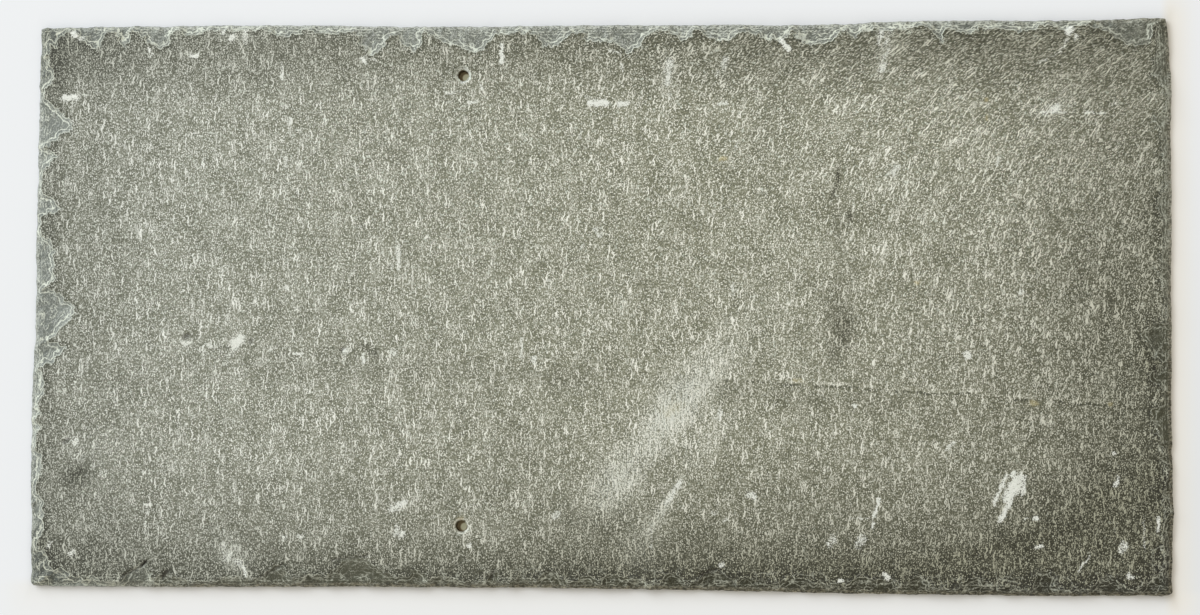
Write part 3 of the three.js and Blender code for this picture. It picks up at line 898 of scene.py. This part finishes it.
def flake_lines(n):
    """Thin lines: one round the rim of each flake, one further in, and more where layers end.

    They are painted pale as highlight where they turn to the window, and dark as shade where they turn
    away.
    """
    strength = n.steps(n.noise(n.here, 0.17, 3, 0.6), 0.34, 0.6, 0.8, 2.3)
    broken = n.steps(n.noise(n.here, 0.75, 2, 0.6), 0.38, 0.52, 0.3, 1)
    first = n.times(n.steps(n.away(n.inwards, 0.1), 0.42, 0.18), n.times(strength, broken))
    wander = n.times_plus(n.noise(n.here, 0.22, 2, 0.6), 6, -1.3)
    second = n.steps(n.away(n.inwards, wander), 0.4, 0.15)
    ends = n.math("FRACT", n.times_plus(n.wiggle, 1.5, n.attribute("layers")))
    ends = n.times(n.steps(n.away(ends, 0.5), 0.41, 0.48), n.times_plus(n.patches, 0.7, 0.3))
    lines = n.larger(n.larger(first, n.times(second, 1.1)), n.times(ends, 1.2))
    gone = n.steps(n.noise(n.here, 0.9, 2, 0.6), 0.54, 0.42, 0, 0.75)
    lines = n.times(lines, n.less(1, n.times(gone, n.worn_and_shaded)))
    return n.times(lines, n.larger(n.turned, n.times_plus(n.clean, 0.15, 0.5)))


def split_layers(n):
    """Layers that have split apart, along the outline."""
    split = n.math("FRACT", n.plus(n.times(n.edge, 0.75), n.times(n.wiggle, 1.8)))
    split = n.times(n.steps(n.away(split, 0.5), 0.34, 0.44), n.patches)
    split = n.times(split, n.steps(n.edge, 6, 4))
    return n.times(split, n.steps(n.edge, 0, 0.8))


def thin_cracks(n):
    """Thin pale cracks that cross each other, along the weathered foot and tail."""
    swerve = n.times_plus(n.noise(n.vector(n.x, n.y, 30), 0.3, 2, 0.6), 5, n.x)
    heave = n.times_plus(n.noise(n.vector(n.x, n.y, 60), 0.3, 2, 0.6), 5, n.y)
    shards = {"Vector": n.vector(n.times(swerve, 1 / 8), n.times(heave, 1 / 6), 0), "Scale": 1}
    shards = n.add("TexVoronoi", shards, voronoi_dimensions="2D", feature="DISTANCE_TO_EDGE")
    cracks = n.steps(shards.outputs["Distance"], 0.05, 0.015)
    cracks = n.times(cracks, n.times(n.steps(n.edge, 12, 6), n.worn_and_shaded))
    return n.times(cracks, n.steps(n.noise(n.vector(n.x, n.y, 90), 0.16, 2), 0.44, 0.56))


def side_layers(n):
    """The tone of the sides, which show the layers on edge as long level streaks."""
    level = n.vector(n.times(n.x, 0.1), n.times(n.y, 0.1), n.times(n.z, 1.9))
    streaks = n.steps(n.noise(level, 1, 3, 0.65), 0.38, 0.62, -0.3, 0.75)
    return n.times_plus(n.less(n.crumb, 0.5), 1.6, streaks)


def stone_colour(n, tone, lit, trim):
    """The colour of the stone from its tone, and from its lines: pale above 0, for painted highlights
    and for cracks and split layers, and dark below 0, for painted shade.
    """
    # Partly painted light: the flakes and trim at the top and the head, and the face towards the head,
    # take a cool tint of the window's light; partly the bluer colour of fresh broken stone.
    cool = n.times(n.larger(n.on_flake, trim), n.times(n.clean, 0.7))
    cool = n.larger(cool, n.steps(n.x, 60, -250, 0, 0.55))
    ground = n.mix(n.shade, n.mix(cool, *GROUND), n.mix(cool, *SHADED_GROUND))
    fleck = n.mix(n.shade, n.mix(cool, *FLECKS), n.mix(cool, *SHADED_FLECKS))
    hollow = n.mix(n.shade, *HOLLOW_AND_SHADE)
    colour = n.mix(n.times(tone, 1, clamp=True), ground, fleck)
    colour = n.mix(n.times(tone, -2, clamp=True), colour, hollow)
    fresh = n.times(n.clean, n.steps(n.x, -150, -235, 0.2, 0.36))
    fresh = n.times(n.times(fresh, n.on_flake), n.steps(n.hole, 2.5, 3.5))
    colour = n.mix(fresh, colour, n.mix(n.shade, *FRESH_SCAR))
    colour = n.mix(n.times(lit, 0.9, clamp=True), colour, n.mix(n.shade, *HIGHLIGHT_AND_PALE_LINE))
    return n.mix(n.times(lit, -0.9, clamp=True), colour, hollow)


def worn_colour(n, colour, pale, haze):
    """The stone's colour under earth, haze, ochre and chalk, with painted shade in the nicks and in the
    walls of the holes.
    """
    dashes = n.noise(n.vector(n.times(n.x, 0.5), n.times(n.y, 2), n.z), 0.9, 2, 0.6)
    soiled = n.times(n.steps(n.edge, 2.2, 0.8, 0, 0.5), n.worn_and_shaded)
    colour = n.mix(soiled, colour, n.mix(n.steps(dashes, 0.46, 0.6), *EARTH))
    colour = n.mix(n.times(haze, 0.24), colour, RUBBED_GREY)
    colour = n.mix(n.times(n.attribute("ochre"), 0.8), colour, OCHRE_YELLOW)
    chalk = n.attribute("chalk")
    crumbs = n.noise(n.vector(n.x, n.times(n.y, 1.7), n.z), 1.6, 3, 0.7)
    cover = n.plus(n.times_plus(chalk, 1.2, -0.06), n.times_plus(crumbs, 4.4, -2.3))
    cover = n.plus(cover, n.times(pale, 0.3))
    cover = n.times(n.steps(cover, 0.3, 0.7), n.steps(chalk, 0.02, 0.3))
    colour = n.mix(cover, colour, n.mix(n.crumb, *CHALK_WHITE))
    # Painted shade: the nicks and the walls of the holes are painted dark brown.
    colour = n.mix(n.times(n.attribute("nicks"), 1.2, clamp=True), colour, NICK_SHADE_BROWN)
    deep = n.times(n.steps(n.z, THICKNESS - 1.4, THICKNESS - 1.9), n.steps(n.hole, 1.2, 0.6))
    return n.mix(deep, colour, HOLE_WALL_SHADE_BROWN)


def slate_material():
    material = bpy.data.materials.new("slate")
    n = SlateNodes(material)
    pale = grain(n)
    haze = rubbed_haze(n)
    trim = n.times(n.steps(n.edge, 2.4, 0.6), n.times_plus(n.clean, 0.5, 0.5))
    tone = n.times_plus(haze, n.times_plus(pale, 1.2, 0.34), pale)
    tone = on_flakes(n, n.plus(tone, cleavage_shade_and_highlight(n)))
    tone = n.plus(along_outline(n, tone, trim), hole_rings(n))
    # Painted highlight and shade on the flake lines, stronger at the top and the head, joined to the
    # pale lines of split layers and cracks.
    lit = n.times_plus(split_layers(n), n.times_plus(n.clean, 0.45, 0.45), flake_lines(n))
    lit = n.times_plus(thin_cracks(n), 0.45, lit)
    side = n.steps(n.edge, 0.3, 0.1)
    tone = n.times_plus(side, n.less(side_layers(n), tone), tone)
    lit = n.times_plus(n.times(side, lit), -1, lit)
    colour = worn_colour(n, stone_colour(n, tone, lit, trim), pale, haze)
    height = n.times_plus(n.noise(n.here, 3.2, 1, 0.6), 0.5, pale)
    bump = n.add("Bump", {"Height": height, "Strength": 0.7, "Distance": GRAIN_HEIGHT * MM})
    shader = n.add("BsdfPrincipled", {
        "Base Color": colour, "Roughness": 0.62, "IOR": 1.5, "Normal": bump.outputs[0]})
    n.add("OutputMaterial", {"Surface": shader.outputs[0]})
    return material


# ---- The slate ----

cad_slate = CadSlate(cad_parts["slate_tile"])
slate = make_object("slate", *build_slate(cad_slate))
slate.data.materials.append(slate_material())
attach(slate, "root")
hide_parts("slate_tile")

# ---- Floor, light and camera ----

FLOOR_SIZE = 6.0
FLOOR_COLOUR = srgb(240, 242, 243)
FLOOR_FAR_FROM_WINDOW = srgb(232, 235, 236)
# Painted on the floor under each nail hole: a brown painted shade round a painted spot of light.
FLOOR_PAINTED_SHADE_UNDER_HOLE = srgb(185, 170, 135)
FLOOR_LIT_THROUGH_HOLE = srgb(184, 182, 152)
# Painted shadow: the floor beside the foot and the tail is tinted with the colour of the slate's shadow.
SHADOW_TINT_PAST_FOOT = srgb(240, 240, 237), 26 * MM  # a tint of the floor, and how far it reaches
SHADOW_TINT_PAST_TAIL = srgb(240, 236, 226), 15 * MM
LIT_SPOT = (2 * MM, 1.4 * MM)  # the light under a nail hole fades in between these radii
SHADED_SPOT = (6 * MM, 4 * MM)  # and the shade round it between these
LIT_SPOT_SHIFT = 0.9 * MM  # the light falls this far from the hole, away from the window
FLOOR_PLAIN_SHARE = 0.65  # of the floor's look that no shadow reaches
SHADOW_REACH = 8.5 * MM  # that share fades in over this from the slate


def floor_material():
    material = bpy.data.materials.new("floor")
    n = Nodes(material)
    x, y, _ = n.place()
    past_ends = n.less(n.math("ABSOLUTE", x), HALF_LENGTH * MM)
    past_sides = n.less(n.math("ABSOLUTE", y), HALF_WIDTH * MM)
    past_tail = n.less(x, HALF_LENGTH * MM)
    past_foot = n.less(-HALF_WIDTH * MM, y)
    # Painted falloff: the floor is painted darker away from the window.
    from_window = n.less(x, n.times(y, 2))
    colour = n.mix(n.steps(from_window, 0, 500 * MM), FLOOR_COLOUR, FLOOR_FAR_FROM_WINDOW)
    # The strips beside the foot and the tail are painted with the shadow's colour.
    strips = (past_foot, past_ends, SHADOW_TINT_PAST_FOOT), (past_tail, past_sides, SHADOW_TINT_PAST_TAIL)
    for past, across, (tint, reach) in strips:
        beside = n.times(n.steps(past, -4 * MM, 1 * MM), n.steps(past, reach, 0))
        colour = n.mix(n.times(beside, n.steps(across, 20 * MM, 0)), colour, tint)
    beyond = n.larger(n.times(past_ends, 2), past_sides)
    clear = n.steps(beyond, -2 * MM, SHADOW_REACH, 0, FLOOR_PLAIN_SHARE)
    # Painted shade and light on the floor under each nail hole; the spot of light also glows for the
    # camera.
    for hole in cad_slate.back_loops()[1:]:
        lit_x, lit_y = hole.mean(axis=0) * MM - LIT_SPOT_SHIFT * np.array(WINDOW_SIDE)
        aside = n.less(x, lit_x)
        along = n.less(y, lit_y)
        away = n.math("SQRT", n.times_plus(aside, aside, n.times(along, along)))
        lit = n.steps(away, *LIT_SPOT)
        colour = n.mix(n.steps(away, *SHADED_SPOT), colour, FLOOR_PAINTED_SHADE_UNDER_HOLE)
        colour = n.mix(lit, colour, FLOOR_LIT_THROUGH_HOLE)
        clear = n.larger(clear, n.times(lit, 0.5))
    shaded = n.add("BsdfDiffuse", {"Color": colour})
    plain = n.add("Emission", {"Color": colour, "Strength": 1})
    seen = n.add("LightPath").outputs["Is Camera Ray"]
    surface = n.add("MixShader", {0: n.times(seen, clear), 1: shaded.outputs[0], 2: plain.outputs[0]})
    n.add("OutputMaterial", {"Surface": surface.outputs[0]})
    return material


def make_floor():
    half = FLOOR_SIZE / 2
    mesh = bpy.data.meshes.new("floor")
    corners = [(-half, -half, 0), (half, -half, 0), (half, half, 0), (-half, half, 0)]
    mesh.from_pydata(corners, [], [(0, 1, 2, 3)])
    mesh.materials.append(floor_material())
    floor = linked("floor", mesh)


WINDOW_FROM = Vector((-0.62, 0.48, 0.62)).normalized()  # towards the window that lights the slate
WINDOW_DISTANCE = 2.4
WINDOW_WIDTH = 2.2
WINDOW_SHARE = 0.45  # of the light that falls on the floor
WINDOW_COLOUR = (0.925, 1.0, 1.12)
SKY_COLOUR = (1.06, 1.0, 0.90, 1.0)


def make_window():
    window = bpy.data.lights.new("window", "AREA")
    window.shape = "SQUARE"
    window.size = WINDOW_WIDTH
    # A lamp of this power gives a level floor WINDOW_SHARE of full daylight, where white is 1.
    window.energy = WINDOW_SHARE * math.pi ** 2 * WINDOW_DISTANCE ** 2 / WINDOW_FROM.z
    window.color = WINDOW_COLOUR
    lamp = linked("window", window)
    lamp.location = WINDOW_FROM * WINDOW_DISTANCE
    lamp.rotation_euler = WINDOW_FROM.to_track_quat("Z", "Y").to_euler()


def make_room():
    """The room lights the slate from all round. The camera sees it as pale as the floor."""
    world = bpy.data.worlds.new("room")
    n = Nodes(world)
    light = n.add("Background", {"Color": SKY_COLOUR, "Strength": 1 - WINDOW_SHARE})
    seen = n.add("Background", {"Color": FLOOR_FAR_FROM_WINDOW, "Strength": 1})
    is_seen = n.add("LightPath").outputs["Is Camera Ray"]
    room = n.add("MixShader", {0: is_seen, 1: light.outputs[0], 2: seen.outputs[0]})
    n.add("OutputWorld", {"Surface": room.outputs[0]})
    bpy.context.scene.world = world


CAMERA_PLACE = Vector((89.21, -77.59, 1124.66)) * MM
CAMERA_TURN = (0.0679924, 0.0768248, 0.0017698)  # radians about X, Y and Z, in ZYX order
LENS = 77.01
SENSOR = 36.0


def make_camera():
    data = bpy.data.cameras.new("camera")
    data.lens = LENS
    data.sensor_width = SENSOR
    camera = linked("camera", data)
    camera.location = CAMERA_PLACE
    camera.rotation_mode = "ZYX"
    camera.rotation_euler = CAMERA_TURN
    bpy.context.scene.camera = camera


make_floor()
make_window()
make_room()
make_camera()
bpy.context.scene.view_settings.view_transform = "Standard"
